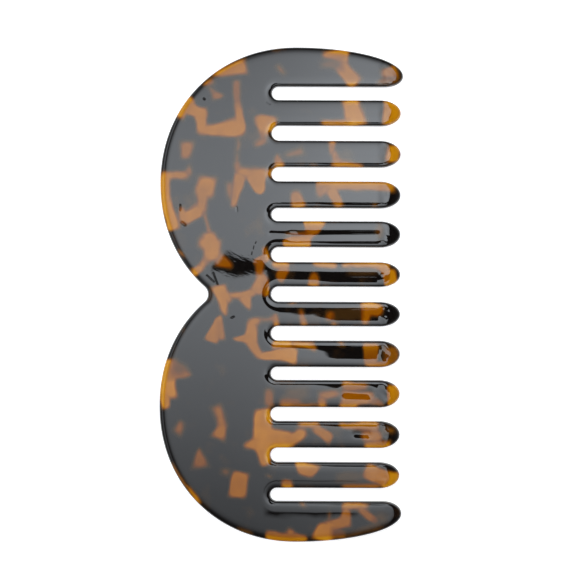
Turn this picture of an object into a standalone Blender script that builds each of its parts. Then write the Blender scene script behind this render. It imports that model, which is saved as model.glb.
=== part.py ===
"""Wide tooth comb cut from one sheet of tortoiseshell acetate, in metres with +Z up.

The comb lies flat on Z = 0. Its teeth point along +X and its length runs along Y. The back has two
round lobes that meet at a waist. The whole sheet is drawn first, with its rounded rim and thinned
tips, and is then divided on flat planes into the two lobes of the back and the teeth.
"""

import math

import bmesh
import bpy
from mathutils import Vector

# Driving dimensions
SHEET_THICKNESS = 0.0040
EDGE_ROUND = 0.0015
TOOTH_COUNT = 12
TOOTH_WIDTH = 0.0078
SLOT_WIDTH = 0.0044
END_TOOTH_WIDTH = 0.0118
TOOTH_LENGTH = 0.0391
END_TOOTH_EXTRA = 0.00065
TIP_LENGTH = 0.0062
END_TIP_LENGTH = 0.0055
END_TIP_RISE = 0.0031
BACK_DEPTH = 0.0338
WAIST_DEPTH = 0.0164
WAIST_FILLET = 0.0030
LOBE_FULLNESS = 2.08
TIP_THICKNESS = 0.0022
TIP_TAPER = 0.0058
ROOT_COLLAR = 0.0005

# Steps of the round stretches
TIP_STEPS = 12
SLOT_STEPS = 10
END_TIP_STEPS = 7
END_FLANK_STEPS = 14
CROWN_STEPS = 18
SHOULDER_STEPS = 9
WAIST_STEPS = 8
RIM_RESOLUTION = 2
TAPER_STEPS = 5

# Finish
DARK_BROWN = (0.020, 0.013, 0.010)
AMBER = (0.52, 0.22, 0.012)
BACK_AMBER_SHARE = 0.30
TOOTH_AMBER_SHARE = 0.40
POLISH_ROUGHNESS = 0.08

# Plan of the comb, worked out from the driving dimensions
SLOT_COUNT = TOOTH_COUNT - 1
PITCH = TOOTH_WIDTH + SLOT_WIDTH
SLOT_RADIUS = SLOT_WIDTH / 2
SLOT_EDGE_Y = (SLOT_COUNT - 1) / 2 * PITCH + SLOT_RADIUS
HALF_LENGTH = SLOT_EDGE_Y + END_TOOTH_WIDTH
WIDTH = BACK_DEPTH + TOOTH_LENGTH + END_TOOTH_EXTRA
BACK_X = -WIDTH / 2
ROOT_X = BACK_X + BACK_DEPTH
TIP_X = ROOT_X + TOOTH_LENGTH
END_TIP_X = TIP_X + END_TOOTH_EXTRA
END_TIP_Y = SLOT_EDGE_Y + END_TIP_RISE
SPLIT_X = ROOT_X + SLOT_RADIUS + ROOT_COLLAR
MID_Z = SHEET_THICKNESS / 2

QUARTER = math.pi / 2
SOLVER_STEPS = 60
WELD_DISTANCE = 1e-7
FLAT_ANGLE = math.radians(0.1)
SHARP_ANGLE = math.radians(40)


def clear_scene():
    """Remove every object of the open file."""
    for old in list(bpy.data.objects):
        bpy.data.objects.remove(old, do_unlink=True)


def new_collection(name):
    """Make a collection in the scene."""
    collection = bpy.data.collections.new(name)
    bpy.context.scene.collection.children.link(collection)
    return collection


def ellipse_arc(centre, radii, start, end, steps):
    """Points of an elliptic arc, both ends included, in the plane of the sheet."""
    points = []
    for step in range(steps + 1):
        angle = start + (end - start) * step / steps
        x = centre[0] + radii[0] * math.cos(angle)
        y = centre[1] + radii[1] * math.sin(angle)
        points.append((x, y))
    return points


def root_between(function, low, high):
    """Where a function that falls through zero between two values does so, by halving the span."""
    for _ in range(SOLVER_STEPS):
        middle = (low + high) / 2
        if function(middle) > 0:
            low = middle
        else:
            high = middle
    return (low + high) / 2


def crossing_depth(radius):
    """Depth below the back at which two lobes of this radius, each touching one end, cross."""
    reach = 1 - ((HALF_LENGTH - radius) / radius) ** LOBE_FULLNESS
    return radius * (1 - reach ** (1 / LOBE_FULLNESS))


# The lobes touch the back and the ends, and cross at the depth of the waist
LOBE_RADIUS = root_between(lambda r: crossing_depth(r) - WAIST_DEPTH, HALF_LENGTH / 2, HALF_LENGTH)
LOBE_X = BACK_X + LOBE_RADIUS
LOBE_Y = HALF_LENGTH - LOBE_RADIUS


def lobe_edge(angle, outward=0):
    """Point on the upper lobe's edge, a circle filled out a little at its diagonals, or beyond it."""
    cosine, sine = math.cos(angle), math.sin(angle)
    power = 2 / LOBE_FULLNESS
    point = Vector((abs(cosine) ** power, abs(sine) ** power)) * LOBE_RADIUS
    point += Vector((abs(cosine) ** (2 - power), abs(sine) ** (2 - power))).normalized() * outward
    return (LOBE_X + math.copysign(point.x, cosine), LOBE_Y + math.copysign(point.y, sine))


# The waist's fillet touches both lobes from outside, with its centre on the comb's middle line
FILLET_TURN = root_between(lambda angle: lobe_edge(angle, WAIST_FILLET)[1], math.pi, 3 * QUARTER)
FILLET_X = lobe_edge(FILLET_TURN, WAIST_FILLET)[0]
FILLET_ANGLE = math.atan2(lobe_edge(FILLET_TURN)[1], lobe_edge(FILLET_TURN)[0] - FILLET_X)


def lobe_arc(start, end, steps):
    """Points along the upper lobe's edge, both ends included."""
    return [lobe_edge(start + (end - start) * step / steps) for step in range(steps + 1)]


def slot_y(index):
    """Middle of a slot, counted from the lower end of the comb."""
    return (index - (SLOT_COUNT - 1) / 2) * PITCH


def rim_round():
    """Radius of the rounded rim, limited by half the sheet and by the tightest tooth tip."""
    tip_radius = (TOOTH_WIDTH / 2) ** 2 / TIP_LENGTH
    end_inner_radius = END_TIP_RISE ** 2 / END_TIP_LENGTH
    end_outer_radius = (HALF_LENGTH - END_TIP_Y) ** 2 / (END_TIP_X - LOBE_X)
    tightest = min(tip_radius, end_inner_radius, end_outer_radius, SHEET_THICKNESS / 2)
    return min(EDGE_ROUND, 0.9 * tightest)


def end_tooth_points():
    """Upper end tooth, from its slot round its tip to the crown of the upper lobe."""
    inner = ellipse_arc(
        (END_TIP_X - END_TIP_LENGTH, END_TIP_Y), (END_TIP_LENGTH, END_TIP_RISE), -QUARTER, 0, END_TIP_STEPS
    )
    outer = ellipse_arc(
        (LOBE_X, END_TIP_Y), (END_TIP_X - LOBE_X, HALF_LENGTH - END_TIP_Y), 0, QUARTER, END_FLANK_STEPS
    )
    return inner[:-1] + outer


def back_points():
    """Back edge from the crown of the upper lobe, through the waist, to the crown of the lower lobe."""
    upper = lobe_arc(QUARTER, math.pi, CROWN_STEPS)[:-1] + lobe_arc(math.pi, FILLET_TURN, SHOULDER_STEPS)
    waist = ellipse_arc((FILLET_X, 0), (WAIST_FILLET, WAIST_FILLET), FILLET_ANGLE, -FILLET_ANGLE, WAIST_STEPS)
    lower = [(x, -y) for x, y in reversed(upper)]
    return upper[1:] + waist[1:-1] + lower[:-1]


def outline_points():
    """Outline of the whole comb, counter-clockwise from the crown of the lower lobe."""
    upper_end = end_tooth_points()
    points = [(x, -y) for x, y in reversed(upper_end)]
    for index in range(SLOT_COUNT):
        slot_centre = (ROOT_X + SLOT_RADIUS, slot_y(index))
        points += ellipse_arc(slot_centre, (SLOT_RADIUS, SLOT_RADIUS), 3 * QUARTER, QUARTER, SLOT_STEPS)
        if index < SLOT_COUNT - 1:
            tip_centre = (TIP_X - TIP_LENGTH, slot_y(index) + PITCH / 2)
            points += ellipse_arc(tip_centre, (TIP_LENGTH, TOOTH_WIDTH / 2), -QUARTER, QUARTER, TIP_STEPS)
    return points + upper_end + back_points()


def draw_sheet():
    """The whole comb as one mesh: its outline extruded to the sheet's thickness, with a rounded rim."""
    rim = rim_round()
    curve = bpy.data.curves.new("comb_outline", "CURVE")
    curve.dimensions = "2D"
    curve.fill_mode = "BOTH"
    curve.extrude = SHEET_THICKNESS / 2 - rim
    curve.bevel_depth = rim
    curve.bevel_resolution = RIM_RESOLUTION
    curve.offset = -rim
    points = outline_points()
    spline = curve.splines.new("POLY")
    spline.points.add(len(points) - 1)
    for point, (x, y) in zip(spline.points, points):
        point.co = (x, y, 0, 1)
    spline.use_cyclic_u = True

    drawn = bpy.data.objects.new("comb_outline", curve)
    bpy.context.scene.collection.objects.link(drawn)
    evaluated = drawn.evaluated_get(bpy.context.evaluated_depsgraph_get())
    mesh = bpy.data.meshes.new_from_object(evaluated)
    bpy.data.objects.remove(drawn, do_unlink=True)

    sheet = bmesh.new()
    sheet.from_mesh(mesh)
    bpy.data.meshes.remove(mesh)
    bmesh.ops.remove_doubles(sheet, verts=sheet.verts, dist=WELD_DISTANCE)
    bmesh.ops.dissolve_limit(sheet, angle_limit=FLAT_ANGLE, verts=sheet.verts, edges=sheet.edges)
    bmesh.ops.translate(sheet, verts=sheet.verts, vec=(0, 0, MID_Z))
    return sheet


def thin_tips(sheet):
    """Bring the thickness down along a quarter ellipse over the last stretch of the teeth."""
    start_x = END_TIP_X - TIP_TAPER
    for step in range(TAPER_STEPS):
        cut_x = start_x + TIP_TAPER * math.sin(QUARTER * step / TAPER_STEPS)
        geometry = sheet.verts[:] + sheet.edges[:] + sheet.faces[:]
        bmesh.ops.bisect_plane(
            sheet, geom=geometry, dist=WELD_DISTANCE, plane_co=(cut_x, 0, 0), plane_no=(1, 0, 0)
        )
    tip_share = TIP_THICKNESS / SHEET_THICKNESS
    for vert in sheet.verts:
        along = (vert.co.x - start_x) / TIP_TAPER
        if along > 0:
            share = tip_share + (1 - tip_share) * math.sqrt(max(0, 1 - along ** 2))
            vert.co.z = MID_Z + (vert.co.z - MID_Z) * share


def cut_away(piece, plane_point, outward):
    """Remove what lies on the outward side of a plane and close the cut with flat faces."""
    geometry = piece.verts[:] + piece.edges[:] + piece.faces[:]
    cut = bmesh.ops.bisect_plane(
        piece, geom=geometry, dist=WELD_DISTANCE, plane_co=plane_point, plane_no=outward, clear_outer=True
    )
    rim = [edge for edge in cut["geom_cut"] if isinstance(edge, bmesh.types.BMEdge) and edge.is_boundary]
    if rim:
        bmesh.ops.holes_fill(piece, edges=rim, sides=0)


def acetate(name, amber_share):
    """Polished acetate of one piece, its colour mixed from dark and amber flakes."""
    material = bpy.data.materials.new(name)
    material.use_nodes = True
    shader = material.node_tree.nodes["Principled BSDF"]
    mixed = [dark + (amber - dark) * amber_share for dark, amber in zip(DARK_BROWN, AMBER)]
    shader.inputs["Base Color"].default_value = (*mixed, 1)
    shader.inputs["Roughness"].default_value = POLISH_ROUGHNESS
    shader.inputs["Metallic"].default_value = 0
    return material


def make_piece(name, sheet, cuts, origin, amber_share, comb):
    """One named piece of the comb: the sheet inside the given planes, with its own origin."""
    piece = sheet.copy()
    for plane_point, outward in cuts:
        cut_away(piece, plane_point, outward)
    bmesh.ops.translate(piece, verts=piece.verts, vec=-origin)
    bmesh.ops.recalc_face_normals(piece, faces=piece.faces)
    mesh = bpy.data.meshes.new(name)
    piece.to_mesh(mesh)
    piece.free()
    mesh.shade_smooth()
    mesh.set_sharp_from_angle(angle=SHARP_ANGLE)
    mesh.materials.append(acetate(name + "_acetate", amber_share))
    body = bpy.data.objects.new(name, mesh)
    body.location = origin
    body.parent = comb
    comb.users_collection[0].objects.link(body)


def make_lobe(name, side, sheet, comb):
    """Upper (side 1) or lower (side -1) lobe of the back, with its share of the slots' round ends."""
    cuts = [((SPLIT_X, 0, 0), (1, 0, 0)), ((0, 0, 0), (0, -side, 0))]
    make_piece(name, sheet, cuts, Vector((LOBE_X, side * LOBE_Y, MID_Z)), BACK_AMBER_SHARE, comb)


def make_tooth(number, sheet, comb):
    """One tooth, numbered from the upper end, from the split plane at its root to its tip."""
    above = slot_y(TOOTH_COUNT - number)
    below = above - PITCH
    cuts = [((SPLIT_X, 0, 0), (-1, 0, 0))]
    if number > 1:
        cuts.append(((0, above, 0), (0, 1, 0)))
    if number < TOOTH_COUNT:
        cuts.append(((0, below, 0), (0, -1, 0)))
    origin = Vector((SPLIT_X, (above + below) / 2, MID_Z))
    make_piece(f"tooth_{number:02d}", sheet, cuts, origin, TOOTH_AMBER_SHARE, comb)


def main():
    """Draw the sheet and divide it into the pieces of the comb."""
    clear_scene()
    parts = new_collection("wide_tooth_comb")
    comb = bpy.data.objects.new("comb", None)
    parts.objects.link(comb)

    sheet = draw_sheet()
    thin_tips(sheet)
    make_lobe("upper_lobe", 1, sheet, comb)
    make_lobe("lower_lobe", -1, sheet, comb)
    for number in range(1, TOOTH_COUNT + 1):
        make_tooth(number, sheet, comb)
    sheet.free()


main()
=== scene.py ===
"""Dress the wide tooth comb in polished tortoiseshell acetate, in metres with +Z up.

The comb lies flat on a pale floor with its teeth along +X and its length along Y. The two lobes of the
back are drawn as rings inside their outline, the twelve teeth come from one Geometry Nodes tree, and
every piece is coloured by amber flakes laid into a dark sheet.
"""

import logging
import math
from dataclasses import dataclass, fields
from enum import Enum
from functools import cached_property
from typing import Callable, Dict, List, Mapping, Optional, Sequence, Tuple, Union

import bmesh
import bpy
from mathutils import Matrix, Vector


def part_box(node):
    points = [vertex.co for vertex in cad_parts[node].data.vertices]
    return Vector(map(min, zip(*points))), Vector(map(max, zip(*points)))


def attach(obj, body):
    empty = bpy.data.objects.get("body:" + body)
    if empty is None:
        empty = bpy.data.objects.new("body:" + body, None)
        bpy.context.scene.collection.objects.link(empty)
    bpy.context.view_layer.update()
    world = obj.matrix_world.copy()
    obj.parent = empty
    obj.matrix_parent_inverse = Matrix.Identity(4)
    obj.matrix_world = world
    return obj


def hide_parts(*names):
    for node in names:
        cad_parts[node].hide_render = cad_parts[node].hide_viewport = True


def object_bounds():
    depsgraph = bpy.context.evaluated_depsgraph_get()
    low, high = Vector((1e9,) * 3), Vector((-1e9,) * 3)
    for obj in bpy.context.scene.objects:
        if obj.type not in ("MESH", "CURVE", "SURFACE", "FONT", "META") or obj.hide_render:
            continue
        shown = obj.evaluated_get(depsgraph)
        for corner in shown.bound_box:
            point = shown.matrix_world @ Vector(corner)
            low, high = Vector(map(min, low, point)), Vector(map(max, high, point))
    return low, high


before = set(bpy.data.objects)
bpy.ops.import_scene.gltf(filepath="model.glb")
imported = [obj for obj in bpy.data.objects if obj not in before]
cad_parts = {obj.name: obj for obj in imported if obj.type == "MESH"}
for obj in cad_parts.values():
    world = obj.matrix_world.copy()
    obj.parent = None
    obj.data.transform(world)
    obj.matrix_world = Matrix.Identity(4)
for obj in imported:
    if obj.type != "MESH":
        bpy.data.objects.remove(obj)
CAD_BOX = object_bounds()

LOG = logging.getLogger("wide_tooth_comb")
BODY = "root"
MM = 0.001
QUARTER = math.pi / 2
SOLVER_STEPS = 60
WELD_DISTANCE = 1e-7
SHARP_ANGLE = math.radians(70)
CUT_SQUARENESS = 1 - 1e-4
POLISH_AGREEMENT = 0.9
IN_PLANE = (1.0, 1.0, 0.0)
SCALAR_OPERATIONS = ("DOT_PRODUCT", "DISTANCE")

Point = Tuple[float, float]
EdgePoint = Tuple[float, float, float]
Colour = Tuple[float, float, float]
Box = Tuple[Vector, Vector]
Amount = Union[float, "NodeValue"]
Feeds = Mapping[Union[int, str], Union[float, Sequence[float], "NodeValue"]]


@dataclass(frozen=True)
class NodeValue:
    """A value that a node tree works out. Numbers are joined to others with the usual signs."""

    socket: bpy.types.NodeSocket

    @property
    def tree(self) -> bpy.types.NodeTree:
        """The tree that works it out."""
        return self.socket.id_data

    def __add__(self, other: Amount) -> "NodeValue":
        """Sum."""
        return joined("ADD", self, other)

    def __sub__(self, other: Amount) -> "NodeValue":
        """Difference."""
        return joined("SUBTRACT", self, other)

    def __rsub__(self, other: Amount) -> "NodeValue":
        """Difference from a number."""
        return joined("SUBTRACT", other, self)

    def __mul__(self, other: Amount) -> "NodeValue":
        """Product."""
        return joined("MULTIPLY", self, other)

    def __truediv__(self, other: Amount) -> "NodeValue":
        """Quotient."""
        return joined("DIVIDE", self, other)

    def __pow__(self, other: Amount) -> "NodeValue":
        """Power."""
        return joined("POWER", self, other)

    def __abs__(self) -> "NodeValue":
        """Size without its sign."""
        return joined("ABSOLUTE", self)

    __radd__ = __add__
    __rmul__ = __mul__


def fill(node: bpy.types.Node, inputs: Feeds) -> None:
    """Set a node's inputs, or link them to the values that feed them.

    Args:
        node: The node.
        inputs: What its inputs take, by their names or numbers.
    """
    for key, feed in inputs.items():
        if isinstance(feed, NodeValue):
            node.id_data.links.new(feed.socket, node.inputs[key])
        else:
            node.inputs[key].default_value = feed


def add_node(tree: bpy.types.NodeTree, kind: str, inputs: Optional[Feeds] = None,
             **settings: object) -> bpy.types.Node:
    """Add a node to a tree.

    Args:
        tree: The tree.
        kind: Blender's name of the node's type.
        inputs: What its inputs take, by their names or numbers.
        settings: Its own settings, made before its inputs are filled.

    Returns:
        The node.
    """
    node = tree.nodes.new(kind)
    for name, setting in settings.items():
        setattr(node, name, setting)
    fill(node, inputs or {})
    return node


def new_tree(name: str, kind: str,
             *sockets: Tuple[str, str, Sequence[str]]) -> Tuple[bpy.types.NodeTree, Dict[str, NodeValue]]:
    """Start a node tree.

    Args:
        name: Its name.
        kind: Blender's name of the tree's type.
        sockets: The way in or out, the kind and the names of its sockets.

    Returns:
        The tree, and its inputs by name.
    """
    tree = bpy.data.node_groups.new(name, kind)
    for way, socket_kind, names in sockets:
        for socket_name in names:
            tree.interface.new_socket(name=socket_name, in_out=way, socket_type="NodeSocket" + socket_kind)
    entry = add_node(tree, "NodeGroupInput")
    return tree, {socket.name: NodeValue(socket) for socket in entry.outputs if socket.name}


def joined(operation: str, *items: Amount) -> NodeValue:
    """Join numbers with one Math node.

    Args:
        operation: Blender's name of the operation.
        items: The numbers, at least one of them from a node tree.

    Returns:
        The node's result.
    """
    tree = next(item.tree for item in items if isinstance(item, NodeValue))
    node = add_node(tree, "ShaderNodeMath", dict(enumerate(items)), operation=operation)
    return NodeValue(node.outputs[0])


def joined_vectors(operation: str, first: NodeValue, second: Union[NodeValue, Sequence[float]]) -> NodeValue:
    """Join two vectors with one Vector Math node.

    Args:
        operation: Blender's name of the operation.
        first: A vector from a node tree.
        second: Another, or a plain one.

    Returns:
        The node's result.
    """
    node = add_node(first.tree, "ShaderNodeVectorMath", {0: first, 1: second}, operation=operation)
    return NodeValue(node.outputs["Value" if operation in SCALAR_OPERATIONS else "Vector"])


def parts(place: NodeValue) -> Tuple[NodeValue, ...]:
    """The x, y and z of a place."""
    split = add_node(place.tree, "ShaderNodeSeparateXYZ", {0: place})
    return tuple(NodeValue(socket) for socket in split.outputs)


def colour_ramp(value: NodeValue, stops: Sequence[Tuple[float, Colour]]) -> NodeValue:
    """A colour that changes with a number.

    Args:
        value: The number, from 0 to 1.
        stops: Places along it, and the colours there.

    Returns:
        The colour.
    """
    ramp = add_node(value.tree, "ShaderNodeValToRGB", {0: value})
    elements = ramp.color_ramp.elements
    while len(elements) < len(stops):
        elements.new(0.5)
    for element, (place, colour) in zip(elements, stops):
        element.position = place
        element.color = (*colour, 1.0)
    return NodeValue(ramp.outputs["Color"])


def new_material(name: str) -> Tuple[bpy.types.Material, bpy.types.Node]:
    """Make a material.

    Args:
        name: Its name.

    Returns:
        The material and its shader node.
    """
    material = bpy.data.materials.new(name)
    material.use_nodes = True
    return material, material.node_tree.nodes["Principled BSDF"]


@dataclass(frozen=True)
class Grain:
    """A soft noise: its waves in a metre, and the finer layers over them."""

    scale: float
    detail: float

    def at(self, place: NodeValue, output: Union[int, str] = 0) -> NodeValue:
        """The noise at a place, from 0 to 1."""
        inputs = {"Vector": place, "Scale": self.scale, "Detail": self.detail}
        return NodeValue(add_node(place.tree, "ShaderNodeTexNoise", inputs).outputs[output])


def least(first: Amount, second: Amount) -> Amount:
    """The smaller of two numbers."""
    nodes = isinstance(first, NodeValue) or isinstance(second, NodeValue)
    return joined("MINIMUM", first, second) if nodes else min(first, second)


def most(first: Amount, second: Amount) -> Amount:
    """The larger of two numbers."""
    nodes = isinstance(first, NodeValue) or isinstance(second, NodeValue)
    return joined("MAXIMUM", first, second) if nodes else max(first, second)


def share_of(value: Amount) -> Amount:
    """A number held between 0 and 1."""
    return least(most(value, 0.0), 1.0)


def eased(value: Amount) -> Amount:
    """A smooth step from 0 to 1."""
    held = share_of(value)
    return held * held * (3.0 - 2.0 * held)


def blended(first: Amount, second: Amount, share: Amount) -> Amount:
    """Part of the way from one number to another."""
    return first + (second - first) * share


def root_between(function: Callable[[float], float], low: float, high: float) -> float:
    """Find where a falling function passes zero by halving the span.

    Args:
        function: A function above zero at low and below it at high.
        low: Start of the span.
        high: End of the span.

    Returns:
        The place of the zero.
    """
    for _ in range(SOLVER_STEPS):
        middle = (low + high) / 2
        if function(middle) > 0:
            low = middle
        else:
            high = middle
    return (low + high) / 2


class Side(Enum):
    """The half of the comb a piece belongs to."""

    UPPER = 1
    LOWER = -1


@dataclass(frozen=True)
class CombPlan:
    """Sizes of the comb: those that the frame shows, and the curves that run between them."""

    thickness: float
    back_x: float
    split_x: float
    tip_x: float
    end_tip_x: float
    half_length: float
    slot_edge_y: float
    pitch: float
    tooth_width: float
    tooth_count: int
    tip_length: float = 6.2 * MM
    end_tip_length: float = 5.5 * MM
    end_tip_rise: float = 3.1 * MM
    waist_depth: float = 16.4 * MM
    waist_fillet: float = 3.0 * MM
    lobe_fullness: float = 2.08
    root_collar: float = 0.5 * MM
    tip_fall: float = 4.1 * MM
    end_tip_fall: float = 3.2 * MM
    # How far each slot's lower and upper edge lie off their even places, in millimetres
    slot_trims: Tuple[Point, ...] = (
        (0.23, -0.21), (0.15, 0.15), (0.02, -0.22), (0.16, -0.42), (-0.05, -0.08), (0.12, 0.16),
        (0.54, 0.37), (0.78, 0.20), (0.53, 0.22), (0.28, 0.13), (0.63, 0.15),
    )

    @classmethod
    def from_frame(cls) -> "CombPlan":
        """Read the sizes that the CAD nodes show.

        Returns:
            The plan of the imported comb.
        """
        low, high = CAD_BOX
        lobe_low, lobe_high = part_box("upper_lobe")
        tooth_low, tooth_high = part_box("tooth_02")
        next_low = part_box("tooth_03")[0]
        end_low, end_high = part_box("tooth_01")
        return cls(
            thickness=high.z - low.z,
            back_x=lobe_low.x,
            split_x=lobe_high.x,
            tip_x=tooth_high.x,
            end_tip_x=end_high.x,
            half_length=end_high.y,
            slot_edge_y=end_low.y,
            pitch=tooth_low.y - next_low.y,
            tooth_width=tooth_high.y - tooth_low.y,
            tooth_count=sum(name.startswith("tooth_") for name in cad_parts),
        )

    @property
    def mid_z(self) -> float:
        """Height of the sheet's middle."""
        return self.thickness / 2

    @property
    def slot_radius(self) -> float:
        """Radius of a slot's round end."""
        return (self.pitch - self.tooth_width) / 2

    @property
    def slot_centre_x(self) -> float:
        """Where a slot's round end is centred."""
        return self.split_x - self.root_collar

    @property
    def end_tip_y(self) -> float:
        """Height of the end teeth's tips along the comb."""
        return self.slot_edge_y + self.end_tip_rise

    @property
    def lobe_radius(self) -> float:
        """Radius at which the two lobes cross at the depth of the waist.

        Returns:
            The radius.
        """

        def shortfall(radius: float) -> float:
            """How far the crossing lies beyond the waist's depth."""
            reach = 1 - ((self.half_length - radius) / radius) ** self.lobe_fullness
            return radius * (1 - reach ** (1 / self.lobe_fullness)) - self.waist_depth

        return root_between(shortfall, self.half_length / 2, self.half_length)

    def slot(self, number: int) -> Tuple[float, float]:
        """Edges of a slot, counted from the upper end, as far off their even places as they were cut.

        Args:
            number: The number of the tooth above it.

        Returns:
            Its lower and its upper edge.
        """
        middle = (self.tooth_count / 2 - number) * self.pitch
        low, high = self.slot_trims[number - 1]
        return middle - self.slot_radius + low * MM, middle + self.slot_radius + high * MM


@dataclass(frozen=True)
class RimProfile:
    """How the polished sheet falls away towards an edge: a slow crown, a roll and a small round."""

    round: float = 0.62 * MM
    fullness: float = 2.2
    slot_roll: float = 1.5 * MM
    slot_end_roll: float = 2.3 * MM
    outer_roll: float = 2.1 * MM
    roll_bend: float = 120.0
    crown_reach: float = 3.2 * MM
    crown_bend: float = 30.0
    round_steps: int = 10
    roll_steps: int = 8
    crown_steps: int = 4

    def height(self, depth: Amount, half: Amount, roll: Amount, crown: Amount = 1.0) -> Amount:
        """Height of the surface over the sheet's middle.

        Args:
            depth: Distance from the edge, in the plane of the sheet.
            half: Half the sheet's thickness there.
            roll: Width of the roll along the edge.
            crown: How much of the slow crown is kept there.

        Returns:
            The height.
        """
        inside = 1.0 - least(depth / self.round, 1.0)
        lift = (1.0 - inside ** self.fullness) ** (1 / self.fullness)
        rolled = most(roll - depth, 0.0)
        crowned = most(self.crown_reach - depth, 0.0)
        fall = rolled * rolled * (self.roll_bend / 2) + crowned * crowned * (self.crown_bend / 2) * crown
        return lift * (half - fall)

    def depths(self, roll: float) -> List[float]:
        """Distances from the edge at which the rings of a rim stand.

        Args:
            roll: Width of the roll along the edge.

        Returns:
            The distances, closer together where the rim is round.
        """
        turn = QUARTER / self.round_steps
        depths = [self.round * (1 - math.cos(turn * step)) for step in range(self.round_steps + 1)]
        for end, steps in ((roll, self.roll_steps), (self.crown_reach, self.crown_steps)):
            start = depths[-1]
            depths += [start + (end - start) * (step + 1) / steps for step in range(steps)]
        return depths


@dataclass(frozen=True)
class ToothForm:
    """Inputs of the tooth tree: where a tooth starts and ends, and the curves of its two edges.

    The outer edge of an end tooth is the comb's own edge. That of a tooth between two slots lies towards +Y.

    Attributes:
        root_x, tip_x, tip_y: Where the tooth starts, and where its tip stands.
        inner_reach, outer_reach: Length of each edge's round at the tip.
        inner_rise, outer_rise: Distance of each edge from the tip, along the comb.
        outer_fall: How far the outer edge falls away towards the root.
        side: 1 where the outer edge lies towards +Y, -1 where it lies towards -Y.
        lean: Slope left across the tooth by its polishing.
        inner_roll, outer_roll: Width of the slow roll along each edge.
        half_thickness: Half the sheet's thickness.
        fall_start: Where the tooth starts to thin towards its tip.
    """

    root_x: Amount
    tip_x: Amount
    tip_y: Amount
    inner_reach: Amount
    inner_rise: Amount
    outer_reach: Amount
    outer_rise: Amount
    outer_fall: Amount
    side: Amount
    lean: Amount
    inner_roll: Amount
    outer_roll: Amount
    half_thickness: Amount
    fall_start: Amount

    @staticmethod
    def socket_name(field_name: str) -> str:
        """The tree's socket for one of these sizes."""
        return field_name.replace("_", " ").title()


@dataclass
class ToothTree:
    """Geometry Nodes tree that bends a grid round into a closed tooth with a rounded rim and tip."""

    profile: RimProfile
    stations: int = 84
    around: int = 68
    lean_length: float = 9.0 * MM
    fall_bend: float = 120.0
    fall_arc: float = 4.0 * MM
    crown_end: float = 2.0 * MM
    crown_fade: float = 5.0 * MM
    tiny: float = 1e-9

    def build(self) -> bpy.types.NodeTree:
        """Make the tree.

        Returns:
            The tree, with one input for each size of a tooth and one for its material.
        """
        names = [ToothForm.socket_name(field.name) for field in fields(ToothForm)]
        tree, value = new_tree(
            "tooth_form",
            "GeometryNodeTree",
            ("INPUT", "Float", names),
            ("INPUT", "Material", ("Material",)),
            ("OUTPUT", "Geometry", ("Tooth",)),
        )
        place = self.surface(ToothForm(*(value[name] for name in names)))
        position = add_node(tree, "ShaderNodeCombineXYZ", dict(enumerate(place))).outputs[0]
        counts = {"Vertices X": self.stations, "Vertices Y": self.around + 1}
        grid = add_node(tree, "GeometryNodeMeshGrid", {"Size X": 1.0, "Size Y": 1.0, **counts})
        tooth = NodeValue(grid.outputs["Mesh"])
        steps = (
            ("GeometryNodeSetPosition", {"Position": NodeValue(position)}),
            ("GeometryNodeMergeByDistance", {"Distance": WELD_DISTANCE}),
            ("GeometryNodeRealizeInstances", {}),
            ("GeometryNodeSetMaterial", {"Material": value["Material"]}),
        )
        for kind, inputs in steps:
            tooth = NodeValue(add_node(tree, kind, {0: tooth, **inputs}).outputs[0])
        add_node(tree, "NodeGroupOutput", {"Tooth": tooth})
        return tree

    def surface(self, size: ToothForm) -> Tuple[NodeValue, ...]:
        """Place of each point of the grid on the tooth.

        Args:
            size: The tree's inputs.

        Returns:
            The point's x, y and z.
        """
        position = add_node(size.root_x.tree, "GeometryNodeInputPosition").outputs[0]
        grid_x, grid_y, _ = parts(NodeValue(position))
        station = (grid_x + 0.5) * (self.stations - 1)
        turn = (grid_y + 0.5) * math.tau

        # The first station closes the root, and the rest run closer together towards the tip
        opened = least(station, 1.0)
        along = most(station - 1.0, 0.0) / (self.stations - 2)
        x = blended(size.root_x, size.tip_x, joined("SINE", along * QUARTER))

        inner_curve = share_of((x - size.tip_x) / size.inner_reach + 1.0)
        outer_start = size.tip_x - size.outer_reach
        outer_curve = share_of((x - outer_start) / size.outer_reach)
        fall = share_of((outer_start - x) / (outer_start - size.root_x)) ** 2.0 * size.outer_fall
        inner_edge = size.inner_rise * joined("SQRT", 1.0 - inner_curve * inner_curve)
        outer_edge = size.outer_rise * joined("SQRT", 1.0 - outer_curve * outer_curve) - fall
        middle = (outer_edge - inner_edge) / 2.0
        across = middle + (outer_edge + inner_edge) / 2.0 * joined("COSINE", turn)

        outer = joined("GREATER_THAN", across, 0.0)
        curve = blended(inner_curve, outer_curve, outer)
        reach = blended(size.inner_reach, size.outer_reach, outer)
        rise = blended(size.inner_rise, size.outer_rise - fall, outer)
        level = across / rise
        spread = joined("SQRT", curve * curve + level * level + self.tiny)
        steep = joined("SQRT", (curve / reach) ** 2.0 + (level * level + self.tiny) / (rise * rise))
        depth = most((1.0 - spread) * spread / steep, 0.0)

        aside = least(abs(across), size.inner_rise)
        beyond = most(x - size.fall_start + aside * aside / (self.fall_arc * 2.0), 0.0)
        dome = beyond * beyond * (self.fall_bend / 2)
        crown = eased((size.fall_start + self.crown_end - x) / self.crown_fade)
        roll = blended(size.inner_roll, size.outer_roll, outer)
        grown = eased((x - size.root_x) / self.lean_length)
        leaning = (size.lean * across + abs(size.lean) * (size.inner_rise - roll)) * grown
        half = size.half_thickness - dome - most(leaning, 0.0)
        height = self.profile.height(depth, half, roll, crown) * opened
        z = size.half_thickness + joined("SIGN", joined("SINE", turn)) * height
        return x, size.tip_y + size.side * across, z


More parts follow.
